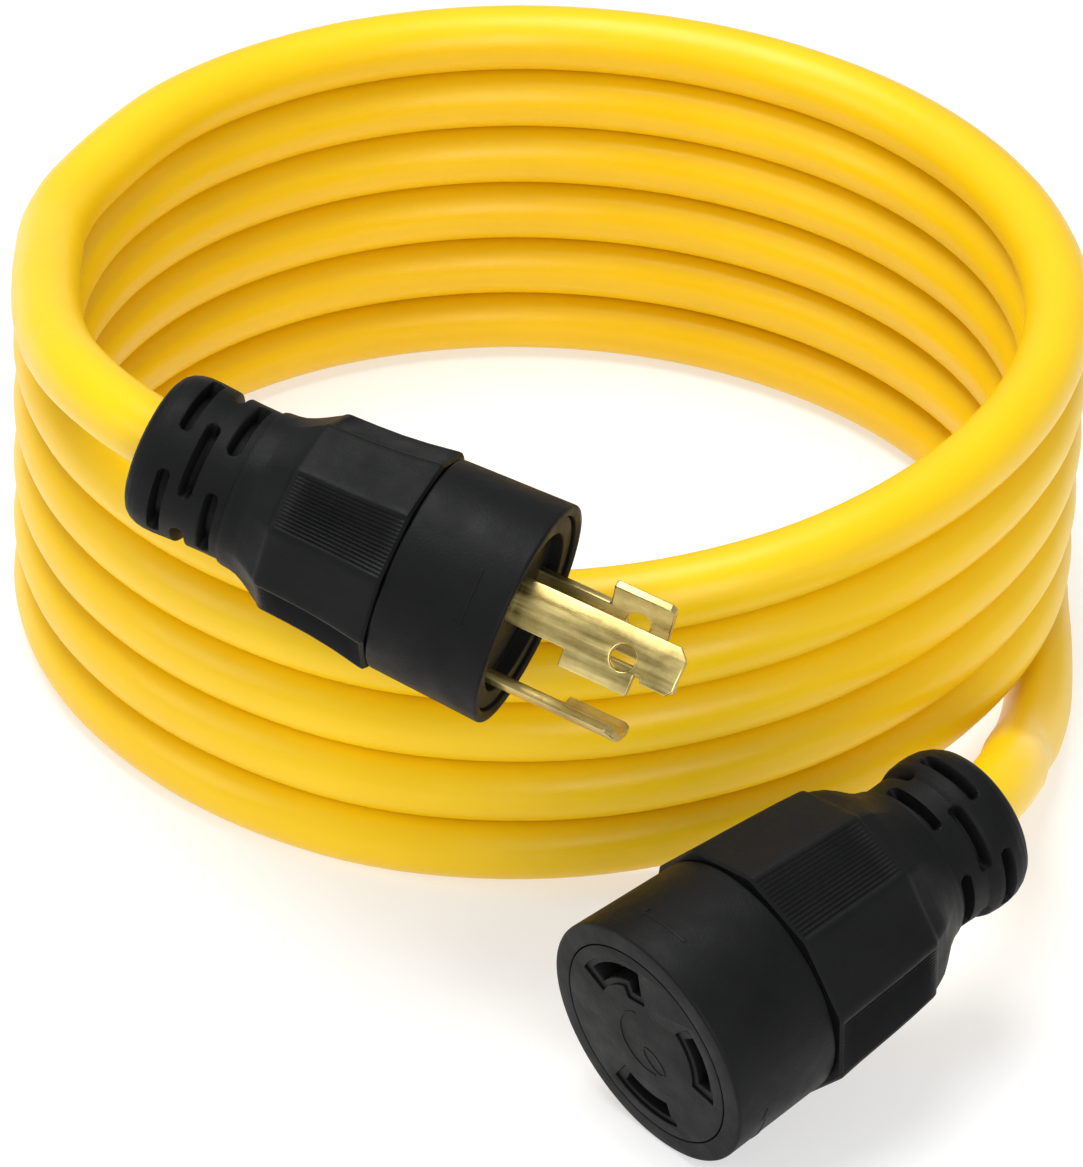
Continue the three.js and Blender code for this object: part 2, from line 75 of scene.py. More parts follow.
# Each end's outlines are lists of (radius, station), some with a fillet as a third number, and
# stations are negative behind the face. Angles are in degrees round the axis, from level. A grip's
# radii are those of its corners, and a ribbed facet begins at the angle called corner. A row of
# slots is (station, angle of a slot's middle). A thread is (radius, front station, rear station).
PLUG = {
    "name": "plug",
    "corner": 123,
    "shell": [
        (19.8, -44, 0), (21.5, -44, 0.5), (21.5, -28.7, 0), (25.8, -28.7, 0.9), (27.0, -0.2, 1.3),
        (25.4, 0.0, 0.5), (24.2, -0.6, 0.4), (24.2, -9, 0), (19.8, -9, 0),
    ],
    "core": [
        (0, -24, 0), (19.5, -24, 0), (19.5, -8.7, 0), (23.9, -8.7, 0), (23.9, -1.3, 0.5),
        (19.5, -1.3, 0.5), (19.1, -4.7, 0.5), (0, -4.7, 0),
    ],
    "grip": [
        (26.4, -29.1), (27.1, -29.8), (27.1, -30.6), (25.9, -38), (25.2, -44), (24.8, -50),
        (24.5, -57.0), (24.3, -57.8), (23.8, -58.4),
    ],
    "shoulder": [
        (23.6, -58.6), (22.9, -59.8), (21.8, -61.7), (20.7, -63.8), (19.9, -65.6), (19.5, -67.4),
        (19.3, -69.6), (19.1, -70.3),
    ],
    "hollow": [
        (18.5, -70.4), (18.5, -67.4), (19.6, -63.8), (20.9, -60.2), (21.5, -57), (22, -45),
        (22, -33.2), (23.3, -33.2), (23.3, -30.5), (24.4, -30.5), (24.4, -29.1),
    ],
    "neck": [
        (18.2, -60.4), (18.2, -76), (18.3, -79.5), (18.6, -83), (18.85, -87.5), (18.8, -90),
        (18.5, -91.7), (17.9, -93.3), (17.0, -94.5), (15.7, -95.3), (14.2, -95.7), (12, -95.8),
        (0, -95.8),
    ],
    "slot_rows": ((-74.2, 98), (-80.6, 141), (-86.6, 96)),
    "slot_arc": 58,
    "cord_end": -50.0,
    "cord_straight": -68.0,
    "thread": (21.5, -31.5, -43.0),
    "arrow_r": 26.62,
    "arrows": (150, -20),
}
CONNECTOR = {
    "name": "connector",
    "corner": 46,
    "shell": [
        (23.8, -47, 0), (26.0, -47, 0.5), (26.0, -30.5, 0), (29.7, -30.5, 1.0), (30.9, -0.3, 0.9),
        (25.8, 0.0, 0.35), (25.8, -9, 0), (23.8, -9, 0),
    ],
    "grip": [
        (31.6, -30.9), (32.2, -31.6), (32.2, -32.2), (31.6, -38), (31.1, -44), (30.6, -50),
        (30, -56), (29.2, -62.4), (28.9, -63.3), (28.3, -63.9),
    ],
    "shoulder": [
        (28.0, -64.2), (27.4, -65.8), (26.3, -68.3), (24.5, -71), (22.3, -73.8), (20.7, -76.6),
        (20.1, -78.4), (19.9, -78.9),
    ],
    "hollow": [
        (19.25, -79.0), (19.25, -77), (20.6, -74), (22.6, -71.3), (24.6, -68), (25.8, -64),
        (26.5, -60), (26.5, -35), (28, -35), (28, -32.3), (29.4, -32.3), (29.4, -30.9),
    ],
    "neck": [
        (18.75, -68.4), (18.75, -84), (18.9, -87.8), (19.5, -89), (20.0, -90.5), (20.2, -93),
        (20.15, -95.2), (19.8, -97.3), (19.1, -99.1), (18.1, -100.6), (16.8, -101.6),
        (15.2, -102.3), (13.0, -102.5), (0, -102.5),
    ],
    "slot_rows": ((-81.8, 83), (-87.8, 39), (-93.4, 85)),
    "slot_arc": 50,
    "cord_end": -58.0,
    "cord_straight": -77.0,
    "thread": (26.0, -34.0, -46.0),
    "arrow_r": 30.5,
    "arrows": (92, -28),
}
FACETS = 10
CORNER_TRIM = 0.9955  # a grip's corners end at this part of their radius
ROUND_SHARE = 0.985  # where a shoulder is round, its radius as a part of its corners'
RIBS = 15
RIB_DEPTH = 0.42
RIB_MARGIN = 0.06  # plain strip at each side of a ribbed facet, as part of its width
RIB_FADE = (0.6, 1.2)  # how far the ribs take to fade out, at the front and at the rear
RIB_SHAPE = 0.8  # below 1, the grooves are wider than the ribs
THREAD_LEAD = 3.0
THREAD_DEPTH = 0.55
RELIEF_SLOT_DEPTH = 3.6
RELIEF_SLOT_HALF_WIDTH = 1.3
RELIEF_SLOT_EDGE = (-0.35, 0.3)  # where a slot's wall begins and ends, from its outline
RELIEF_SLOT_RADIUS = 18.5  # where a slot's length is measured
BLADE_R = (15.8, 18.0)
BLADE_REAR = -25.5
BLADES = {
    "ground": {
        "from": 117, "to": 154, "lock": 168, "lock_span": (13.5, 30.5), "tip": 40.0, "hole": 26.6,
    },
    "line": {
        "from": 211, "to": 255, "lock": 268, "lock_span": (14.5, 30.0), "tip": 30.0, "hole": 21.5,
    },
    "neutral": {
        "from": -35, "to": 2, "lock": 24, "lock_span": (13.5, 28.8), "tip": 28.8, "hole": 21.0,
    },
}
BLADE_HOLE_R = 3.0
BLADE_CHAMFER = 2.4
NOTCH_DEPTH = 1.2
NOTCH_FRONT = (1.4, 1.8)  # where the notch's front slope begins and ends, from its rear edge
TIP_OVERHANG = 0.3  # the ground blade is this much wider past its notch
LEG_ANGLE = 149.5
LEG_THICKNESS = 2.0
LEG_OUTLINE = [(-24, 12.4), (38.5, 12.4), (40, 13.6), (40, 16.4), (-24, 16.4)]  # station, radius
SLOT_R = (16.9, 20.8)
SLOTS = {"ground": (91, 142), "line": (-119, -77), "neutral": (-5, 36)}
SLOT_LEG = (103, 13.8)  # where the ground slot's inward leg ends, and its inner radius
SLOT_BORDER = (1.5, 7.0)  # the recessed border round each slot: across it, and in degrees beyond it
CORE_FACE = (25.5, 0.6)  # radius and depth
CORE_BODY = (23.5, 33.0)  # radius and depth
CORE_RING = (23.4, 7.6)  # inner radius and depth
ARROW_STATION = -9.0
ARROW_LENGTH = 17.0
ARROW_SHAFT = 0.9
ARROW_HEAD = 3.6
MARK_HEIGHT = 0.3
MARK_BEVEL = 0.06
FACE_ARC = (8.3, 8.7, 105, 285)  # inner and outer radius, first and last angle
FACE_OVAL = {"x": 2.2, "y": -4.2, "tilt": -38}
FACE_OVAL_SIZES = ((8.2, 4.6), (7.3, 3.7))  # outer and inner width and height

# ------------------------------------------- camera, lights and floor, in metres and degrees

CAMERA_LENS = 221.4  # millimetres
CAMERA_PLACE = (0.0003, -1.5121, 0.9861)  # from the coil's axis, like the lights' places
CAMERA_PITCH = 57.0
CAMERA_ROLL = 2.52
LIGHTS = (  # name, place, size, power
    ("top_light", (-0.3, 0.1, 1.6), 1.2, 24.5),
    ("front_light", (0.5, -1.7, 0.8), 1.2, 17),
    ("left_light", (-1.5, -0.5, 0.7), 0.9, 5),
)
WORLD_STRENGTH = 0.42
FLOOR_HALF = 4.0
FLOOR_HEIGHT = -0.0002


# ---------------------------------------------------------------- places

class End:
    """One end of the cord: X along its axis towards the face, Y level, Z up, in millimetres."""

    def __init__(self, sizes):
        self.sizes = sizes
        self.name = sizes["name"]
        joint = next(j for j in frame["joints"] if j["name"] == f"{self.name}_housing_turn")
        axis = -Vector(joint["axis"]).normalized()
        side = Vector((0, 0, 1)).cross(axis).normalized()
        face = Vector(joint["pos_m"]) + axis * HOUSING_STATION * MM
        turn = Matrix((axis, side, axis.cross(side))).transposed().to_4x4()
        self.matrix = Matrix.Translation(face) @ turn @ Matrix.Scale(MM, 4)

    def on_axis(self, station):
        return self.matrix @ Vector((station, 0, 0))


def coil_centre():
    low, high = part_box("cord_coil")
    middle = (low + high) / 2
    return Vector((middle.x, middle.y, 0))


plug_end = End(PLUG)
connector_end = End(CONNECTOR)
coil_axis = coil_centre()


# ---------------------------------------------------------------- camera and light

def in_scene(name, data):
    thing = bpy.data.objects.new(name, data)
    bpy.context.scene.collection.objects.link(thing)
    return thing


def make_camera():
    data = bpy.data.cameras.new("camera")
    data.sensor_width = 36
    data.lens = CAMERA_LENS
    data.clip_end = 20
    camera = in_scene("camera", data)
    pitch = Matrix.Rotation(math.radians(CAMERA_PITCH), 4, "X")
    roll = Matrix.Rotation(math.radians(CAMERA_ROLL), 4, "Z")
    place = Matrix.Translation(coil_axis + Vector(CAMERA_PLACE))
    camera.matrix_world = place @ pitch @ roll
    bpy.context.scene.camera = camera


def area_light(name, place, size, power):
    data = bpy.data.lights.new(name, "AREA")
    data.shape = "DISK"
    data.size = size
    data.energy = power
    light = in_scene(name, data)
    light.location = coil_axis + Vector(place)
    light.rotation_euler = (-Vector(place)).to_track_quat("-Z", "Y").to_euler()


def make_studio():
    for light in LIGHTS:
        area_light(*light)
    world = bpy.data.worlds.new("studio")
    bpy.context.scene.world = world
    world.use_nodes = True
    background = world.node_tree.nodes["Background"]
    background.inputs["Color"].default_value = (1, 1, 1, 1)
    background.inputs["Strength"].default_value = WORLD_STRENGTH
    bpy.context.scene.view_settings.view_transform = "Standard"
    floor_mesh = bpy.data.meshes.new("floor")
    sides = ((-1, -1), (1, -1), (1, 1), (-1, 1))
    corners = [(x * FLOOR_HALF, y * FLOOR_HALF, FLOOR_HEIGHT) for x, y in sides]
    floor_mesh.from_pydata(corners, [], [(0, 1, 2, 3)])
    floor = in_scene("floor", floor_mesh)
    paper = bpy.data.materials.new("paper")
    paper.use_nodes = True
    shader = paper.node_tree.nodes["Principled BSDF"]
    shader.inputs["Base Color"].default_value = (0.55, 0.55, 0.55, 1)
    shader.inputs["Emission Color"].default_value = (1, 1, 1, 1)
    shader.inputs["Emission Strength"].default_value = 0.5
    shader.inputs["Roughness"].default_value = 0.95
    shader.inputs["Specular IOR Level"].default_value = 0.0
    floor_mesh.materials.append(paper)


# ---------------------------------------------------------------- materials

NOISE_LOW, NOISE_HIGH = 0.3, 0.7  # most of a noise texture's values lie between these


class Surface:
    """A procedural material: noise layers feed the base colour, roughness and bump."""

    def __init__(self, name, roughness, metallic=0.0):
        self.material = bpy.data.materials.new(name)
        self.material.use_nodes = True
        self.nodes = self.material.node_tree.nodes
        self.links = self.material.node_tree.links
        self.shader = self.nodes["Principled BSDF"]
        self.shader.inputs["Roughness"].default_value = roughness
        self.shader.inputs["Metallic"].default_value = metallic
        self.place = self.nodes.new("ShaderNodeTexCoord").outputs["Object"]
        self.last_bump = None

    def noise(self, scale, detail=4.0, roughness=0.55, stretch=None):
        """A noise texture. stretch is a rotation and a scale, which draw it out one way."""
        vector = self.place
        if stretch is not None:
            mapping = self.nodes.new("ShaderNodeMapping")
            mapping.vector_type = "TEXTURE"
            mapping.inputs["Rotation"].default_value = stretch[0]
            mapping.inputs["Scale"].default_value = stretch[1]
            self.links.new(vector, mapping.inputs["Vector"])
            vector = mapping.outputs["Vector"]
        node = self.nodes.new("ShaderNodeTexNoise")
        node.inputs["Scale"].default_value = scale
        node.inputs["Detail"].default_value = detail
        node.inputs["Roughness"].default_value = roughness
        self.links.new(vector, node.inputs["Vector"])
        return node.outputs["Fac"]

    def ramp(self, value, stops):
        """A colour for each value, between two stops of (value, colour)."""
        node = self.nodes.new("ShaderNodeValToRGB")
        for element, (position, colour) in zip(node.color_ramp.elements, stops):
            element.position = position
            element.color = (*colour, 1)
        self.links.new(value, node.inputs["Fac"])
        return node.outputs["Color"]

    def levels(self, value, low, high):
        """Spreads a noise over the range from low to high."""
        node = self.nodes.new("ShaderNodeMapRange")
        node.inputs["From Min"].default_value = NOISE_LOW
        node.inputs["From Max"].default_value = NOISE_HIGH
        node.inputs["To Min"].default_value = low
        node.inputs["To Max"].default_value = high
        self.links.new(value, node.inputs["Value"])
        return node.outputs["Result"]

    def mix(self, first, second, share):
        node = self.nodes.new("ShaderNodeMix")
        node.data_type = "RGBA"
        self.links.new(first, node.inputs["A"])
        self.links.new(second, node.inputs["B"])
        self.links.new(share, node.inputs["Factor"])
        return node.outputs["Result"]

    def colour(self, output):
        self.links.new(output, self.shader.inputs["Base Color"])

    def rough(self, output):
        self.links.new(output, self.shader.inputs["Roughness"])

    def bump(self, height, strength, distance):
        node = self.nodes.new("ShaderNodeBump")
        node.inputs["Strength"].default_value = strength
        node.inputs["Distance"].default_value = distance
        self.links.new(height, node.inputs["Height"])
        if self.last_bump is not None:
            self.links.new(self.last_bump, node.inputs["Normal"])
        self.last_bump = node.outputs["Normal"]
        self.links.new(self.last_bump, self.shader.inputs["Normal"])


def jacket_surface():
    surface = Surface("yellow_jacket", roughness=0.36)
    tone = surface.noise(scale=14, detail=3)
    fine = surface.noise(scale=420, detail=5, roughness=0.6)
    deep, bright = (0.80, 0.500, 0.002), (0.86, 0.555, 0.004)
    surface.colour(surface.ramp(tone, [(NOISE_LOW, deep), (NOISE_HIGH, bright)]))
    patches = surface.noise(scale=60, detail=4)
    surface.rough(surface.levels(patches, low=0.31, high=0.42))
    surface.shader.inputs["Subsurface Weight"].default_value = 0.03
    surface.shader.inputs["Subsurface Radius"].default_value = (0.006, 0.004, 0.001)
    surface.shader.inputs["Specular IOR Level"].default_value = 0.32
    surface.bump(surface.noise(scale=38, detail=3), strength=0.25, distance=0.0012)
    surface.bump(fine, strength=0.08, distance=0.0003)
    return surface.material


def moulded_surface(name, dark, light, roughness, grain):
    surface = Surface(name, roughness)
    surface.shader.inputs["Specular IOR Level"].default_value = 0.12
    speckle = surface.noise(scale=900, detail=3, roughness=0.7)
    cloud = surface.noise(scale=45, detail=5, roughness=0.6)
    plain = surface.ramp(cloud, [(NOISE_LOW, dark), (0.72, light)])
    dusty = tuple(2.1 * c for c in light)
    dust = surface.ramp(speckle, [(0.62, dark), (0.78, dusty)])
    surface.colour(surface.mix(plain, dust, surface.levels(cloud, low=0.0, high=0.4)))
    patches = surface.noise(scale=120, detail=5)
    surface.rough(surface.levels(patches, low=roughness - 0.07, high=roughness + 0.1))
    fine = surface.noise(scale=1500, detail=3, roughness=0.6)
    surface.bump(fine, strength=grain, distance=0.0002)
    surface.bump(surface.noise(scale=220, detail=4), strength=grain * 0.6, distance=0.0004)
    return surface.material


def brass_surface(end):
    surface = Surface("blade_brass", roughness=0.3, metallic=1.0)
    turn = end.matrix.to_euler()
    along = ((turn.x, turn.y, turn.z), (14.0, 1.0, 1.0))
    brushed = surface.noise(scale=650, detail=4, roughness=0.6, stretch=along)
    stain = surface.noise(scale=70, detail=5, roughness=0.65)
    shaded, clean = (0.58, 0.45, 0.14), (0.84, 0.70, 0.30)
    stained, faded = (0.22, 0.15, 0.045), (0.48, 0.35, 0.11)
    bright = surface.ramp(brushed, [(NOISE_LOW, shaded), (NOISE_HIGH, clean)])
    dull = surface.ramp(stain, [(0.35, stained), (0.65, faded)])
    surface.colour(surface.mix(bright, dull, surface.levels(stain, low=0.75, high=0.05)))
    surface.rough(surface.levels(brushed, low=0.22, high=0.42))
    surface.bump(brushed, strength=0.12, distance=0.0002)
    return surface.material


def plain_surface(name, colour, roughness, metallic=0.0, grain=0.1):
    surface = Surface(name, roughness, metallic)
    shade = tuple(0.8 * c for c in colour)
    tone = surface.noise(scale=150, detail=4)
    surface.colour(surface.ramp(tone, [(NOISE_LOW, shade), (NOISE_HIGH, colour)]))
    patches = surface.noise(scale=300, detail=4)
    surface.rough(surface.levels(patches, low=roughness - 0.06, high=roughness + 0.08))
    surface.bump(surface.noise(scale=1200, detail=3), strength=grain, distance=0.0002)
    return surface.material


LOOKS = {
    "jacket": jacket_surface(),
    "black_plastic": moulded_surface(
        "black_moulding", (0.0028, 0.0030, 0.0031), (0.0066, 0.0068, 0.0070),
        roughness=0.50, grain=0.40,
    ),
    "black_rubber": moulded_surface(
        "black_rubber", (0.0027, 0.0029, 0.0030), (0.0062, 0.0064, 0.0066),
        roughness=0.55, grain=0.42,
    ),
    "seal_rubber": plain_surface("seal_rubber", (0.20, 0.03, 0.02), 0.5),
    "clamp_plastic": plain_surface("clamp_moulding", (0.70, 0.69, 0.64), 0.5),
    "brass": brass_surface(plug_end),
    "steel": plain_surface("plated_steel", (0.62, 0.63, 0.64), 0.28, metallic=1.0, grain=0.05),
    "ground_insulation": plain_surface("green_insulation", (0.03, 0.22, 0.05), 0.45),
    "line_insulation": plain_surface("black_insulation", (0.015, 0.015, 0.015), 0.45),
    "neutral_insulation": plain_surface("white_insulation", (0.78, 0.77, 0.73), 0.45),
}


def dress_cad_nodes():
    for part in frame["record"]["subparts"]:
        node = frame["nodes"][part["node"]]
        node.data.materials.clear()
        node.data.materials.append(LOOKS[part["material_slot"]])


# ---------------------------------------------------------------- meshes

def finish_piece(name, mesh, slot, body, replaced, crease=35):
    """Makes the mesh a piece of the object: smooth, in its material, on its body."""
    tidy = bmesh.new()
    tidy.from_mesh(mesh)
    bmesh.ops.remove_doubles(tidy, verts=tidy.verts, dist=1e-6)
    bmesh.ops.recalc_face_normals(tidy, faces=tidy.faces)
    tidy.to_mesh(mesh)
    tidy.free()
    mesh.shade_smooth()
    mesh.set_sharp_from_angle(angle=math.radians(crease))
    mesh.materials.clear()
    mesh.materials.append(LOOKS[slot])
    piece = in_scene(name, mesh)
    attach(piece, body)
    if replaced:
        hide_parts(*replaced)
    return piece


def rounded(corners, steps=4):
    """The closed outline through (radius, station, fillet) corners, with each corner rounded."""
    outline = []
    for i, (radius, station, fillet) in enumerate(corners):
        here = Vector((radius, station))
        if fillet == 0:
            outline.append(here)
            continue
        back = Vector(corners[i - 1][:2]) - here
        ahead = Vector(corners[(i + 1) % len(corners)][:2]) - here
        reach = fillet / math.tan(back.angle(ahead) / 2)
        # Under half of each side, so that two fillets on one side don't meet.
        reach = min(reach, 0.48 * back.length, 0.48 * ahead.length)
        start = here + back.normalized() * reach
        end = here + ahead.normalized() * reach
        for k in range(steps + 1):
            t = k / steps
            outline.append(start * (1 - t) ** 2 + here * 2 * t * (1 - t) + end * t ** 2)
    return outline


def turned_mesh(name, end, rows, angles, radius_at, closed):
    """A mesh round the end's axis. rows are outline points, radius_at(row, angle) is the radius."""
    points = []
    faces = []
    count = len(angles)
    for row in rows:
        for angle in angles:
            radius = radius_at(row, angle)
            turn = math.radians(angle)
            place = Vector((row[1], radius * math.cos(turn), radius * math.sin(turn)))
            points.append(end.matrix @ place)
    last = len(rows) if closed else len(rows) - 1
    for i in range(last):
        k = (i + 1) % len(rows)
        for j in range(count):
            m = (j + 1) % count
            faces.append((i * count + j, i * count + m, k * count + m, k * count + j))
    mesh = bpy.data.meshes.new(name)
    mesh.from_pydata(points, [], faces)
    return mesh


def even_angles(count):
    return [360 * k / count for k in range(count)]


def smooth_step(low, high, value):
    t = min(max((value - low) / (high - low), 0.0), 1.0)
    return t * t * (3 - 2 * t)


def spaced(outline, spacing):
    """The open outline with extra points, so that none is further than spacing from the next."""
    rows = [outline[0]]
    for (r0, s0), (r1, s1) in zip(outline, outline[1:]):
        steps = max(1, math.ceil(math.hypot(r1 - r0, s1 - s0) / spacing))
        for k in range(1, steps + 1):
            t = k / steps
            rows.append((r0 + (r1 - r0) * t, s0 + (s1 - s0) * t))
    return rows


# ---------------------------------------------------------------- front shells and plug core

def front_shell(end):
    sizes = end.sizes
    name = f"{end.name}_shell"
    thread_r, thread_front, thread_rear = sizes["thread"]
    outline = rounded(sizes["shell"])
    rows = []
    for here, after in zip(outline, outline[1:] + outline[:1]):
        rows.append(tuple(here))
        if here.x == thread_r and after.x == thread_r:
            rows += spaced([tuple(here), tuple(after)], spacing=0.4)[1:-1]

    def radius_at(row, angle):
        radius, station = row
        inside = thread_rear < station < thread_front and abs(radius - thread_r) < 0.01
        if not inside:
            return radius
        phase = station / THREAD_LEAD + angle / 360
        return radius - THREAD_DEPTH * (0.5 - 0.5 * math.cos(2 * math.pi * phase))

    mesh = turned_mesh(name, end, rows, even_angles(count=180), radius_at, closed=True)
    return finish_piece(name, mesh, "black_plastic", "root", [f"{end.name}_front_shell"])


def plug_core():
    name = "plug_insulator"
    rows = [tuple(point) for point in rounded(PLUG["core"])]

    def radius_at(row, angle):
        return row[0]

    mesh = turned_mesh(name, plug_end, rows, even_angles(count=144), radius_at, closed=True)
    return finish_piece(name, mesh, "black_plastic", "root", ["plug_core"])


# ---------------------------------------------------------------- rear housings

def facet_radius(corner_radius, angle, corner):
    """The radius of a many-sided outline, with its corners taken off a little."""
    width = 360 / FACETS
    across = (angle - corner) % width - width / 2
    flat = corner_radius * math.cos(math.radians(width / 2)) / math.cos(math.radians(across))
    return min(flat, corner_radius * CORNER_TRIM)


def rib_depth(angle, corner, station, sizes):
    """Fine lengthwise ribs on every other facet."""
    width = 360 / FACETS
    facet = math.floor(((angle - corner) % 360) / width)
    if facet % 2:
        return 0.0
    across = ((angle - corner) % width) / width
    if not RIB_MARGIN < across < 1 - RIB_MARGIN:
        return 0.0
    phase = 2 * math.pi * RIBS * (across - RIB_MARGIN) / (1 - 2 * RIB_MARGIN)
    wave = 0.5 - 0.5 * math.cos(phase)
    front, rear = sizes["grip"][1][1], sizes["grip"][-3][1]
    rear_fade = smooth_step(rear, rear + RIB_FADE[1], station)
    front_fade = 1 - smooth_step(front - RIB_FADE[0], front, station)
    return RIB_DEPTH * wave ** RIB_SHAPE * (rear_fade * front_fade)


def housing_angles(corner):
    """Angles all round, with six steps or more to each rib on the ribbed facets."""
    width = 360 / FACETS
    angles = []
    for facet in range(FACETS):
        steps = 6 * RIBS + 12 if facet % 2 == 0 else 24
        angles += [corner + width * (facet + k / steps) for k in range(steps)]
    return angles


def rear_housing(end):
    sizes = end.sizes
    name = f"{end.name}_grip"
    shoulder_r, neck_r = sizes["shoulder"][0][0], sizes["shoulder"][-1][0]
    rows = [(r, s, "grip") for r, s in spaced(sizes["grip"], spacing=3.0)]
    rows += [(r, s, "shoulder") for r, s in spaced(sizes["shoulder"], spacing=0.9)]
    rows += [(r, s, "hollow") for r, s in sizes["hollow"]]

    def radius_at(row, angle):
        radius, station, kind = row
        if kind == "hollow":
            return radius
        faceted = facet_radius(radius, angle, sizes["corner"])
        if kind == "grip":
            return faceted - rib_depth(angle, sizes["corner"], station, sizes)
        share = smooth_step(neck_r, shoulder_r, radius)
        return radius * (1 - share) * ROUND_SHARE + faceted * share

    angles = housing_angles(sizes["corner"])
    mesh = turned_mesh(name, end, rows, angles, radius_at, closed=True)
    body = f"{end.name}_housing"
    replaced = [f"{end.name}_rear_housing"]
    return finish_piece(name, mesh, "black_plastic", body, replaced, crease=28)


# ---------------------------------------------------------------- strain reliefs

def slot_depth(angle, station, sizes):
    """Rows of round-ended slots cut into the neck, four to a row."""
    half_width = RELIEF_SLOT_HALF_WIDTH
    for row_station, centre in sizes["slot_rows"]:
        along = abs(station - row_station)
        if along > half_width + RELIEF_SLOT_EDGE[1]:
            continue
        across = abs((angle - centre + 45) % 90 - 45)
        past_arc = math.radians(across - sizes["slot_arc"] / 2) * RELIEF_SLOT_RADIUS
        from_outline = math.hypot(max(past_arc + half_width, 0.0), along) - half_width
        return RELIEF_SLOT_DEPTH * (1 - smooth_step(*RELIEF_SLOT_EDGE, from_outline))
    return 0.0


def strain_relief(end):
    sizes = end.sizes
    name = f"{end.name}_boot"
    rows = spaced(sizes["neck"], spacing=0.33)
    front_cap = (0.0, rows[0][1])

    def radius_at(row, angle):
        radius, station = row
        return radius - slot_depth(angle, station, sizes)

    rows = [front_cap] + rows
    mesh = turned_mesh(name, end, rows, even_angles(count=300), radius_at, closed=False)
    replaced = [f"{end.name}_strain_relief"]
    return finish_piece(name, mesh, "black_rubber", "root", replaced, crease=50)


# ---------------------------------------------------------------- flat shapes, plain or bent

def flat_plate(outlines, thickness, bevel):
    """A bevelled plate from closed outlines in the XY plane: the first outside, the rest holes."""
    curve = bpy.data.curves.new("outline", "CURVE")
    curve.dimensions = "2D"
    curve.fill_mode = "BOTH"
    curve.extrude = thickness / 2 - bevel
    curve.bevel_depth = bevel
    curve.bevel_resolution = 2
    curve.offset = -bevel
    for outline in outlines:
        spline = curve.splines.new("POLY")
        spline.points.add(len(outline) - 1)
        spline.use_cyclic_u = True
        for point, (x, y) in zip(spline.points, outline):
            point.co = (x, y, 0, 1)
    holder = bpy.data.objects.new("outline", curve)
    mesh = bpy.data.meshes.new_from_object(holder)
    bpy.data.objects.remove(holder)
    bpy.data.curves.remove(curve)
    return mesh


def sliced(mesh, spacing):
    """Cuts the mesh along planes across X, so that it can bend."""
    shape = bmesh.new()
    shape.from_mesh(mesh)
    axis = Vector((1, 0, 0))
    reach = [vertex.co.x for vertex in shape.verts]
    steps = math.floor((max(reach) - min(reach)) / spacing)
    for k in range(1, steps + 1):
        geometry = shape.verts[:] + shape.edges[:] + shape.faces[:]
        where = axis * (min(reach) + k * spacing)
        bmesh.ops.bisect_plane(shape, geom=geometry, plane_co=where, plane_no=axis)
    shape.to_mesh(mesh)
    shape.free()
    return mesh


def bent(mesh, end, radius, middle):
    """Bends a flat plate round the end's axis: X goes round, Y along, Z outwards."""
    for vertex in mesh.vertices:
        x, y, z = vertex.co
        turn = math.radians(middle) + x / radius
        reach = radius + z
        vertex.co = end.matrix @ Vector((y, reach * math.cos(turn), reach * math.sin(turn)))
    return mesh


def oval_outline(x, y, width, height, tilt, count=40):
    turn = math.radians(tilt)
    outline = []
    for k in range(count):
        t = 2 * math.pi * k / count
        along, across = width / 2 * math.cos(t), height / 2 * math.sin(t)
        outline.append((
            x + along * math.cos(turn) - across * math.sin(turn),
            y + along * math.sin(turn) + across * math.cos(turn),
        ))
    return outline


def circle_outline(x, y, radius, count=32):
    return oval_outline(x, y, 2 * radius, 2 * radius, 0, count)


def cut_corners(corners, reach, steps=3):
    """The outline through the corners, with each corner rounded off over the given reach."""
    closed = [(x, y, reach) for x, y in corners]
    return [tuple(point) for point in rounded(closed, steps)]


# ---------------------------------------------------------------- blades

def blade(role):
    sizes = BLADES[role]
    middle = (sizes["from"] + sizes["to"]) / 2
    radius = sum(BLADE_R) / 2
    thickness = BLADE_R[1] - BLADE_R[0]

    def across(angle):
        return math.radians(angle - middle) * radius

    left, right, lock = across(sizes["from"]), across(sizes["to"]), across(sizes["lock"])
    lock_rear, lock_front = sizes["lock_span"]
    tip = sizes["tip"]
    corners = [(left, BLADE_REAR), (right, BLADE_REAR), (right, lock_rear), (lock, lock_rear)]
    if lock_front < tip:
        notch = right - NOTCH_DEPTH
        slope_start, slope_end = (lock_front + reach for reach in NOTCH_FRONT)
        corners += [(lock, lock_front), (notch, lock_front), (notch, slope_start)]
        corners += [(right + TIP_OVERHANG, slope_end)]
        corners += [(right + TIP_OVERHANG, tip - BLADE_CHAMFER / 2)]
        corners += [(right - BLADE_CHAMFER / 2, tip)]
    else:
        corners += [(lock, tip - BLADE_CHAMFER / 2), (lock - BLADE_CHAMFER / 2, tip)]
    corners += [(left + BLADE_CHAMFER, tip), (left, tip - BLADE_CHAMFER)]
    outline = cut_corners(corners, reach=0.5)
    hole = circle_outline((left + lock) / 2, sizes["hole"], BLADE_HOLE_R)
    plate = sliced(flat_plate([outline, hole], thickness, bevel=0.32), spacing=0.8)
    mesh = bent(plate, plug_end, radius, middle)
    name = f"blade_{role}"
    return finish_piece(name, mesh, "brass", "root", [f"plug_{role}_blade"], crease=40)


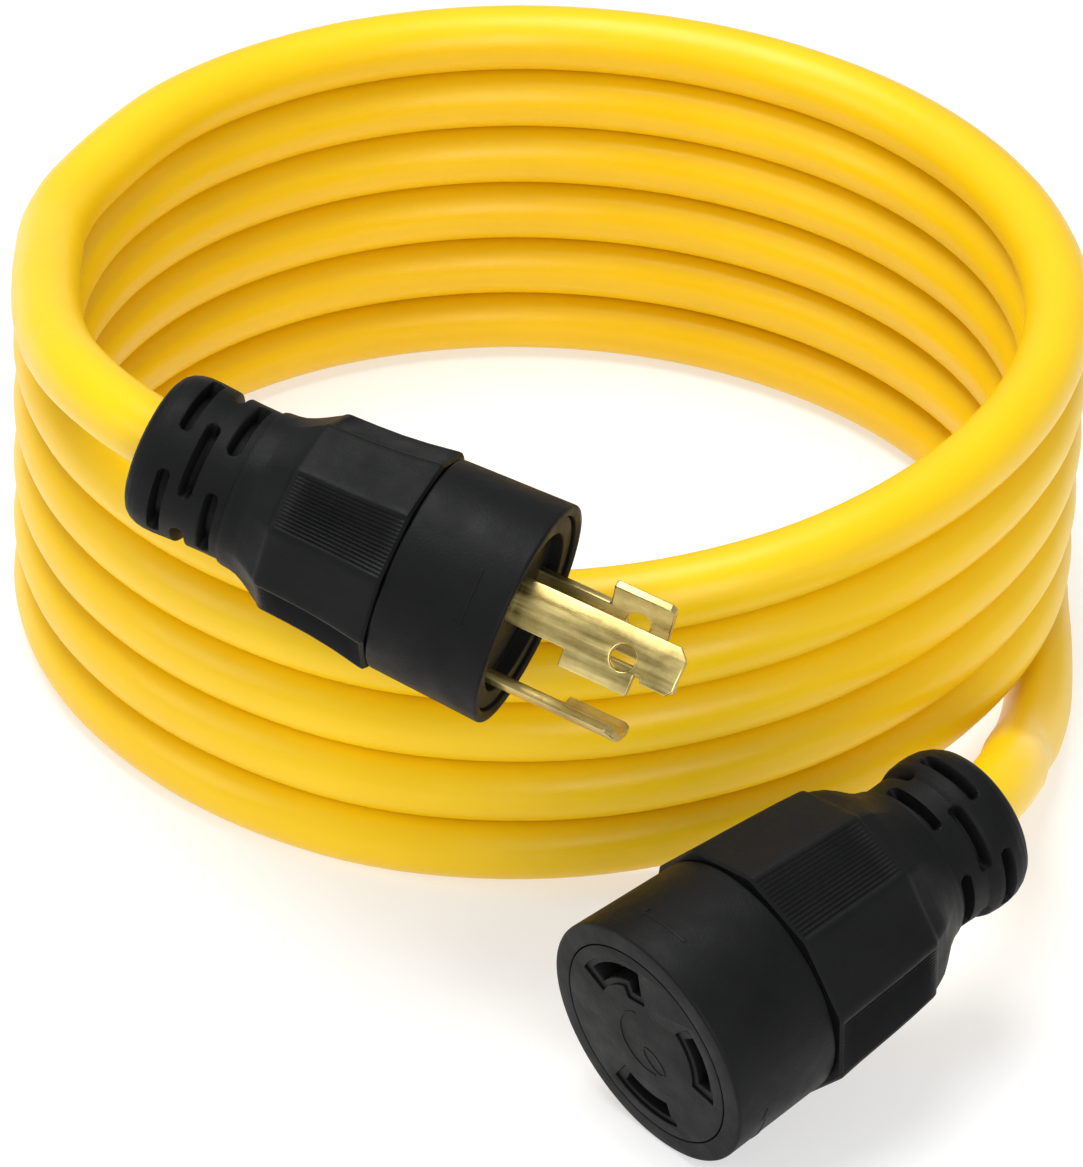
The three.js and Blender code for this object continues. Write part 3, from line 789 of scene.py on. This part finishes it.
def ground_leg():
    """The ground blade's inward leg, which keys it in its slot."""
    mesh = flat_plate([cut_corners(LEG_OUTLINE, reach=0.4)], LEG_THICKNESS, bevel=0.3)
    turn = math.radians(LEG_ANGLE)
    for vertex in mesh.vertices:
        along, reach, aside = vertex.co
        y = reach * math.cos(turn) - aside * math.sin(turn)
        z = reach * math.sin(turn) + aside * math.cos(turn)
        vertex.co = plug_end.matrix @ Vector((along, y, z))
    return finish_piece("blade_ground_leg", mesh, "brass", "root", [], crease=40)


# ---------------------------------------------------------------- connector face

def arc_outline(inner, outer, first, last, leg=None, steps=24):
    """An arc-shaped outline. leg is an inward leg at its first end, as (last angle, radius)."""
    turns = [math.radians(first + (last - first) * k / steps) for k in range(steps + 1)]
    outside = [(outer * math.cos(t), outer * math.sin(t)) for t in turns]
    inside = [(inner * math.cos(t), inner * math.sin(t)) for t in reversed(turns)]
    if leg is None:
        return outside + inside
    leg_last, leg_inner = leg
    inside = [point for point in inside if math.degrees(math.atan2(point[1], point[0])) > leg_last]
    for reach, angle in ((inner, leg_last), (leg_inner, leg_last), (leg_inner, first)):
        turn = math.radians(angle)
        inside.append((reach * math.cos(turn), reach * math.sin(turn)))
    return outside + inside


def slot_outlines(spread, angle_spread):
    inner, outer = SLOT_R[0] - spread, SLOT_R[1] + spread
    outlines = []
    for role, (first, last) in SLOTS.items():
        leg = (SLOT_LEG[0] + angle_spread, SLOT_LEG[1] - spread) if role == "ground" else None
        outlines.append(arc_outline(inner, outer, first - angle_spread, last + angle_spread, leg))
    return outlines


def face_on(mesh, end, station):
    """Turns a flat plate so that its top looks out of the end's face, at a station."""
    for vertex in mesh.vertices:
        x, y, z = vertex.co
        vertex.co = end.matrix @ Vector((station + z, x, y))
    return mesh


def joined(meshes):
    shape = bmesh.new()
    for mesh in meshes:
        shape.from_mesh(mesh)
    whole = bpy.data.meshes.new("joined")
    shape.to_mesh(whole)
    shape.free()
    return whole


def connector_core():
    """Two layers: a face with a shallow border round each slot, and a body with the slots."""
    rim_r, face_depth = CORE_FACE
    body_r, body_depth = CORE_BODY
    ring_r, ring_depth = CORE_RING
    radii = (rim_r, body_r, ring_r)
    rim, edge, ring_edge = (circle_outline(0, 0, radius, count=160) for radius in radii)
    face = flat_plate([rim] + slot_outlines(*SLOT_BORDER), face_depth, bevel=0.15)
    body = flat_plate([edge] + slot_outlines(0.0, 0.0), body_depth, bevel=0.3)
    ring = flat_plate([rim, ring_edge], ring_depth, bevel=0.1)
    mesh = joined([
        face_on(face, connector_end, -face_depth / 2),
        face_on(body, connector_end, -face_depth - body_depth / 2),
        face_on(ring, connector_end, -face_depth - ring_depth / 2),
    ])
    name = "connector_insulator"
    return finish_piece(name, mesh, "black_plastic", "root", ["connector_core"], crease=40)


# ---------------------------------------------------------------- raised marks

def arrow_outline(length, shaft, head, station):
    """An arrow that points along +X, in the middle of a station."""
    half, neck = length / 2, length / 2 - head
    points = [
        (-half, -shaft / 2), (neck, -shaft / 2), (neck, -head / 2), (half, 0),
        (neck, head / 2), (neck, shaft / 2), (-half, shaft / 2),
    ]
    return [(x, y + station) for x, y in points]


def shell_arrow(end, index, angle):
    """A low raised arrow round the front shell, which shows the way to turn it."""
    outline = arrow_outline(ARROW_LENGTH, ARROW_SHAFT, ARROW_HEAD, ARROW_STATION)
    plate = sliced(flat_plate([outline], thickness=0.4, bevel=0.1), spacing=1.0)
    mesh = bent(plate, end, end.sizes["arrow_r"], angle)
    name = f"{end.name}_arrow_{index}"
    return finish_piece(name, mesh, "black_plastic", "root", [], crease=40)


def face_marks():
    """A thin arc and a plain oval ring in the middle of the connector's face."""
    ovals = [
        oval_outline(width=width, height=height, **FACE_OVAL) for width, height in FACE_OVAL_SIZES
    ]
    marks = []
    for outlines in ([arc_outline(*FACE_ARC)], ovals):
        plate = flat_plate(outlines, MARK_HEIGHT, MARK_BEVEL)
        marks.append(face_on(plate, connector_end, 0.0))
    name = "connector_face_marks"
    return finish_piece(name, joined(marks), "black_plastic", "root", [], crease=40)


# ---------------------------------------------------------------- the cord

def centripetal(before, start, end, after, t):
    """A point between start and end on a centripetal Catmull-Rom curve."""
    pairs = ((before, start), (start, end), (end, after))
    d0, d1, d2 = (max((b - a).length ** 0.5, 1e-6) for a, b in pairs)
    leave = ((start - before) / d0 - (end - before) / (d0 + d1) + (end - start) / d1) * d1
    reach = ((end - start) / d1 - (after - start) / (d1 + d2) + (after - end) / d2) * d1
    return (
        start * (2 * t ** 3 - 3 * t ** 2 + 1) + leave * (t ** 3 - 2 * t ** 2 + t)
        + end * (3 * t ** 2 - 2 * t ** 3) + reach * (t ** 3 - t ** 2)
    )


def coil_point(turns):
    level = math.floor(turns) + smooth_step(*CLIMB, turns % 1)
    angle = 2 * math.pi * turns
    height = PITCH / 2 + PITCH * level
    place = Vector((COIL_R * math.cos(angle), COIL_R * math.sin(angle), height)) * MM
    return coil_axis + place


def cord_route():
    def end_run(end):
        near, far = end.sizes["cord_end"], end.sizes["cord_straight"]
        return [end.on_axis(station) for station in (near, (near + far) / 2, far)]

    knots = end_run(connector_end)
    knots += [coil_axis + Vector(point) for point in reversed(TAIL)]
    knots += [coil_point(COIL_START + k / POINTS_PER_TURN) for k in range(COIL_STEPS + 1)]
    knots += [coil_axis + Vector(point) for point in LEAD]
    knots += list(reversed(end_run(plug_end)))
    first = knots[0] * 2 - knots[1]
    last = knots[-1] * 2 - knots[-2]
    padded = [first] + knots + [last]
    route = []
    for i in range(1, len(padded) - 2):
        for k in range(SAMPLES_PER_POINT):
            route.append(centripetal(*padded[i - 1:i + 3], k / SAMPLES_PER_POINT))
    route.append(knots[-1])
    return route


def make_cord():
    route = cord_route()
    curve = bpy.data.curves.new("cord", "CURVE")
    curve.dimensions = "3D"
    curve.bevel_depth = CORD_D * MM / 2
    curve.bevel_resolution = 10
    curve.use_fill_caps = True
    spline = curve.splines.new("POLY")
    spline.points.add(len(route) - 1)
    for point, place in zip(spline.points, route):
        point.co = (*place, 1)
    spline.use_smooth = True
    curve.materials.append(LOOKS["jacket"])
    cord = in_scene("cord", curve)
    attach(cord, "root")
    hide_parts("cord_tail", "cord_coil", "cord_top_turn", "cord_plug_lead")
    length = sum((b - a).length for a, b in zip(route, route[1:]))
    return cord, length


# ---------------------------------------------------------------- the whole scene

make_camera()
cord, cord_length = make_cord()
make_studio()
dress_cad_nodes()
plug_pieces = [front_shell(plug_end), plug_core(), rear_housing(plug_end), strain_relief(plug_end)]
plug_pieces += [blade(role) for role in BLADES]
plug_pieces.append(ground_leg())
plug_pieces += [shell_arrow(plug_end, k, angle) for k, angle in enumerate(PLUG["arrows"])]
for k, angle in enumerate(CONNECTOR["arrows"]):
    shell_arrow(connector_end, k, angle)
front_shell(connector_end)
face_marks()
connector_core()
rear_housing(connector_end)
strain_relief(connector_end)
